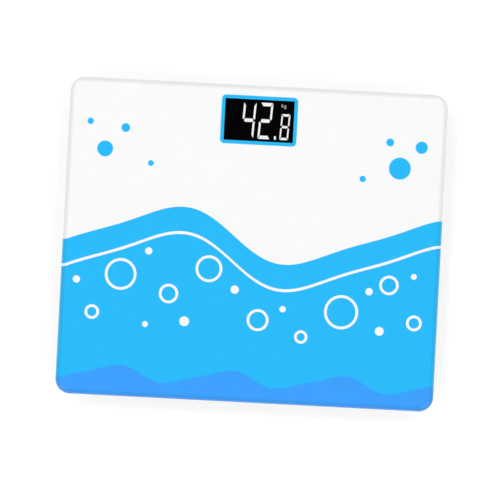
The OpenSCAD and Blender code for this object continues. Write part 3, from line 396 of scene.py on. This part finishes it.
MATERIALS = {
    "platform_glass": platform_glass(),
    "white_ink": ink("white_ink", (0.945, 0.945, 0.945)),
    "sky_ink": ink("sky_ink", (0.026, 0.497, 0.956)),
    "deep_ink": ink("deep_ink", (0.051, 0.352, 0.985)),
    "mounting_tape": foam("mounting_tape", (0.8, 0.8, 0.78), 0.35 * MM),
    "shell_plastic": moulded("shell_plastic", (0.84, 0.845, 0.85)),
    "foot_rubber": rubber("foot_rubber", (0.17, 0.175, 0.185)),
    "cell_steel": metal("cell_steel", (0.6, 0.61, 0.63)),
    "sealant": rubber("sealant", (0.82, 0.82, 0.79), 2 * MM, 0.1 * MM, 0.35),
    "lead_insulation": moulded("lead_insulation", (0.75, 0.75, 0.75), 0.4),
    "screw_steel": metal("screw_steel", (0.56, 0.57, 0.59), 0.28, (1, 1, 0.1)),
    "display_glass": display_glass(),
    "lit_segments": lit_segments(),
    "light_guide": light_guide(),
    "holder_plastic": moulded("holder_plastic", (0.8, 0.8, 0.8)),
    "connector_rubber": rubber("connector_rubber", (0.85, 0.45, 0.55), 0.3 * MM, 0.02 * MM, 0.6),
    "gasket_foam": foam("gasket_foam", (0.05, 0.05, 0.055)),
    "circuit_board": circuit_board(),
    "chip_resin": moulded("chip_resin", (0.012, 0.012, 0.013), 0.3, 1.5 * MM, 0.03 * MM),
    "switch_plastic": moulded("switch_plastic", (0.03, 0.03, 0.032), 0.4),
    "button_plastic": moulded("button_plastic", (0.42, 0.45, 0.49), 0.42),
    "cell_wrap": cell_wrap(),
    "contact_nickel": metal("contact_nickel", (0.74, 0.72, 0.67), 0.22, (0.1, 1, 1)),
}

for subpart in frame["record"]["subparts"]:
    mesh = nodes[subpart["node"]].data
    mesh.materials.clear()
    mesh.materials.append(MATERIALS[subpart["material_slot"]])


# Pieces made here


def add_piece(name, data, slot, place=(0, 0, 0)):
    """A piece of the scene's own, which rides on the base."""
    data.materials.append(MATERIALS[slot])
    piece = bpy.data.objects.new(name, data)
    piece.location = place
    scene.collection.objects.link(piece)
    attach(piece, "base")
    return piece


def round_outline(w, d, corner, inset, steps):
    """The points around a rectangle with round corners, some way inside its outline."""
    r = corner - inset
    for sx, sy, start in ((1, 1, 0), (-1, 1, 90), (-1, -1, 180), (1, -1, 270)):
        for k in range(steps + 1):
            a = math.radians(start + 90 * k / steps)
            yield sx * (w / 2 - corner) + r * math.cos(a), sy * (d / 2 - corner) + r * math.sin(a)


def round_plate(name, w, d, corner, section, steps):
    """A closed round-cornered plate: section runs from the underside to the top as (inset, z)."""
    bm = bmesh.new()
    rings = [
        [bm.verts.new((x, y, z)) for x, y in round_outline(w, d, corner, inset, steps)]
        for inset, z in section
    ]
    n = len(rings[0])
    for low, high in zip(rings, rings[1:]):
        for k in range(n):
            bm.faces.new((low[k], low[(k + 1) % n], high[(k + 1) % n], high[k]))
    bm.faces.new(rings[0])
    bm.faces.new(rings[-1])
    bmesh.ops.recalc_face_normals(bm, faces=bm.faces)
    mesh = bpy.data.meshes.new(name)
    bm.to_mesh(mesh)
    bm.free()
    for face in mesh.polygons:
        face.use_smooth = True
    return mesh


# The glass plate: the same outline as its solid, with a finer edge for the refraction. It reaches
# just below the top of the lowest ink, so that no air lies between the glass and the print

CHAMFER = 0.8 * MM
CONTACT = 0.02 * MM
FLAT_INSET = 6 * MM
ARC_STEPS = 20
CORNER_STEPS = 20

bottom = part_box("print_backing")[1][2] - CONTACT
section = [(FLAT_INSET, bottom), (CHAMFER, bottom), (0, glass_lo[2] + CHAMFER)]
sharp_rings = len(section)
section += [
    (EDGE_R * (1 - math.cos(a)), top_z - EDGE_R * (1 - math.sin(a)))
    for a in (math.pi / 2 * k / ARC_STEPS for k in range(ARC_STEPS + 1))
]
section.append((FLAT_INSET, top_z))
plate_mesh = round_plate("glass_plate", plate_w, plate_d, PLATE_CORNER, section, CORNER_STEPS)
# The edges around the underside and its chamfer stay sharp
ring_size = len(plate_mesh.vertices) // len(section)
for edge in plate_mesh.edges:
    ring, other_ring = (vertex // ring_size for vertex in edge.vertices)
    edge.use_edge_sharp = ring == other_ring < sharp_rings
plate = add_piece("glass_plate", plate_mesh, "platform_glass")
plate.modifiers.new("normals", "WEIGHTED_NORMAL").keep_sharp = True
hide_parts("glass_platform")

# The unit sign on the display, above the small digit

SIGN_H = 4.4 * MM
SIGN_THIN = 0.07 * MM
SIGN_SPACING = 1.12
# From the right and the upper end of the digits to the sign's start and its base line
SIGN_LEFT = 7.9 * MM
SIGN_DOWN = 3.2 * MM

lit_lo, lit_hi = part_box("lcd_segments")
sign = bpy.data.curves.new("unit_sign", "FONT")
sign.body = "kg"
sign.size = SIGN_H
sign.space_character = SIGN_SPACING
sign.offset = -SIGN_THIN
sign.extrude = (lit_hi[2] - lit_lo[2]) / 2
sign_place = (lit_hi[0] - SIGN_LEFT, lit_hi[1] - SIGN_DOWN, (lit_lo[2] + lit_hi[2]) / 2)
add_piece("unit_sign", sign, "lit_segments", sign_place)

# The floor: a plain pale plane, which shines by itself so that it ends in the white world

FLOOR_REACH = 8
FLOOR_GAP = 0.2 * MM
FLOOR_TONE = (0.9, 0.9, 0.9, 1)
# How far the floor shines by itself, near the scale and from FLOOR_FAR on
FLOOR_LIFT = 0.2
FLOOR_NEAR = 0.5
FLOOR_FAR = 1.8
WHITE = 1.0

corners = [(x * FLOOR_REACH, y * FLOOR_REACH, 0) for x, y in ((-1, -1), (1, -1), (1, 1), (-1, 1))]
floor_mesh = bpy.data.meshes.new("floor")
floor_mesh.from_pydata(corners, [], [(0, 1, 2, 3)])
floor = bpy.data.objects.new("floor", floor_mesh)
floor.location.z = -FLOOR_GAP
scene.collection.objects.link(floor)

t = material_tree("floor")
plain = t.add("ShaderNodeBsdfDiffuse")
plain.inputs["Color"].default_value = FLOOR_TONE
seen = t.add("ShaderNodeLightPath")
shown = t.math("MAXIMUM", seen.outputs["Is Camera Ray"], seen.outputs["Is Glossy Ray"])
shown = t.math("MAXIMUM", shown, seen.outputs["Is Transmission Ray"])
reach = t.add("ShaderNodeVectorMath", operation="LENGTH")
t.put(reach.inputs[0], t.coords)
shine = t.span(reach.outputs["Value"], FLOOR_NEAR, FLOOR_FAR, FLOOR_LIFT, WHITE, smooth=True)
lift = t.add("ShaderNodeEmission")
t.put(lift.inputs["Strength"], t.math("MULTIPLY", shown, shine))
both = t.add("ShaderNodeAddShader")
t.put(both.inputs[0], plain.outputs[0])
t.put(both.inputs[1], lift.outputs[0])
floor_mesh.materials.append(t.finish(both.outputs[0]))

# The world: white all round as the background, with a dark patch overhead that the glass reflects

# Two heights of the direction seen, and the strengths below the one and above the other
SOFT_LIGHT = (0.75, 0.98, 0.85, 0.03)
REFLECTED = (0.0, 0.6, WHITE, 0.012)

scene.world = bpy.data.worlds.new("world")
t = Tree(scene.world, "ShaderNodeOutputWorld", "Generated")
height = t.parts(t.coords)[2]
mirrored = t.span(height, *REFLECTED, smooth=True)
strength = t.span(height, *SOFT_LIGHT, smooth=True)
path = t.add("ShaderNodeLightPath")
by_ray = (("Is Glossy Ray", mirrored), ("Is Transmission Ray", mirrored), ("Is Camera Ray", WHITE))
for ray, value in by_ray:
    strength = t.pick(path.outputs[ray], strength, value)
background = t.add("ShaderNodeBackground")
background.inputs["Color"].default_value = (1, 1, 1, 1)
t.put(background.inputs["Strength"], strength)
t.finish(background.outputs[0])

# Four soft lamps around the camera

LAMP_OUT = 1.15
LAMP_H = 2.1
LAMP_SIDE = 1.1
LAMPS = (
    ("back_left", -1, 1, 11.6), ("back_right", 1, 1, 9.6),
    ("front_left", -1, -1, 9.0), ("front_right", 1, -1, 8.2),
)

for name, x, y, watts in LAMPS:
    light = bpy.data.lights.new("lamp_" + name, "AREA")
    light.shape = "SQUARE"
    light.size = LAMP_SIDE
    light.energy = watts
    lamp = bpy.data.objects.new("lamp_" + name, light)
    lamp.location = (x * LAMP_OUT, y * LAMP_OUT, LAMP_H)
    lamp.rotation_euler = (-Vector(lamp.location)).to_track_quat("-Z", "Y").to_euler()
    scene.collection.objects.link(lamp)
